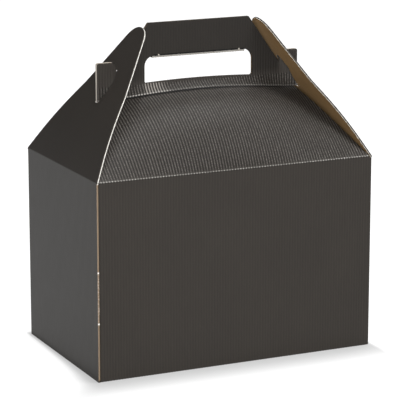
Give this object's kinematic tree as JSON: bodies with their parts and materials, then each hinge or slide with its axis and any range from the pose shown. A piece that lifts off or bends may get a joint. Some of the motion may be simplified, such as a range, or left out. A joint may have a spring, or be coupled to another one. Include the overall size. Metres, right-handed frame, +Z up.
{
  "type": "gable box",
  "caption": "Folded corrugated carry box with a bulged gable roof, hooked handle panels with a hand hole, and slotted gable flaps that swing open.",
  "frame": {"origin": "centre of the underside of the floor, which is the bottom centre of the bounding box", "axes": "+Z up through the handle, +X along the front wall towards the right gable flap, -Y out of the front wall"},
  "size_m": [0.2056, 0.1262, 0.2289],
  "materials": {
    "carton_board": "satin black printed outside, kraft inside",
    "flap_board": "satin black printed outside, kraft inside"
  },
  "bodies": {
    "carton": {"carton": "carton_board"},
    "left_flap": {"left_gable_flap": "flap_board"},
    "right_flap": {"right_gable_flap": "flap_board"}
  },
  "joints": [
    {"name": "left_flap_crease", "type": "hinge", "parent": "carton", "child": "left_flap", "pos_m": [-0.1028, 0, 0.13605], "axis": [0, -1, 0], "range_deg": [0, 180]},
    {"name": "right_flap_crease", "type": "hinge", "parent": "carton", "child": "right_flap", "pos_m": [0.1028, 0, 0.13605], "axis": [0, 1, 0], "range_deg": [0, 180]}
  ]
}
